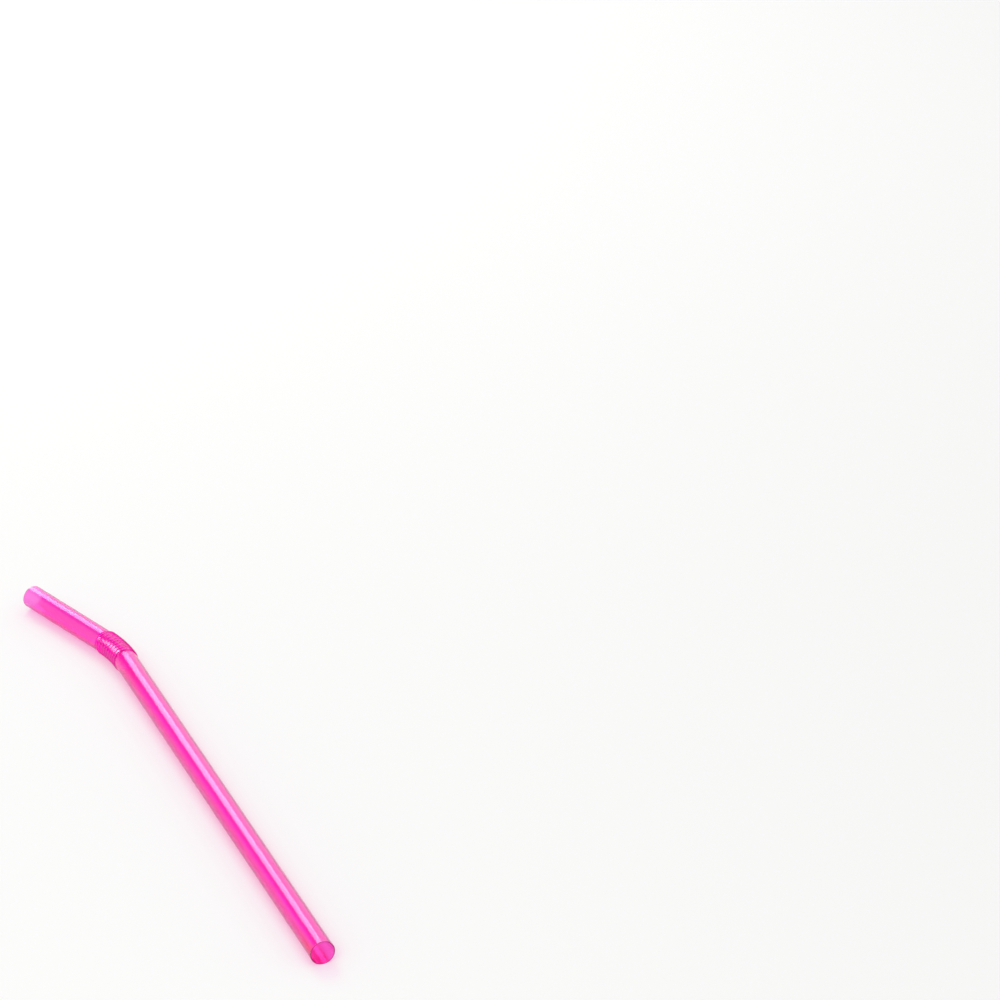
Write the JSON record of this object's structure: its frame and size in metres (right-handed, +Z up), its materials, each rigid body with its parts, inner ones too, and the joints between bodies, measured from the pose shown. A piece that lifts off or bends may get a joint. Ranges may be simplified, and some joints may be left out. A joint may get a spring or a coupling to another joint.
{
  "type": "plastic drinking straw",
  "caption": "Thin-walled flexible drinking straw of translucent pink plastic, bent at its folded bellows and lying on its side.",
  "frame": {"origin": "on the table, under the middle of the straw as it lies at rest", "axes": "+Z up, +Y along the long leg from its mouth to the bellows, short leg bent towards -X"},
  "size_m": [0.0184, 0.1956, 0.0067],
  "materials": {
    "pink_polypropylene": "glossy, see-through"
  },
  "bodies": {
    "root": {"drinking_straw": "pink_polypropylene"}
  },
  "joints": []
}
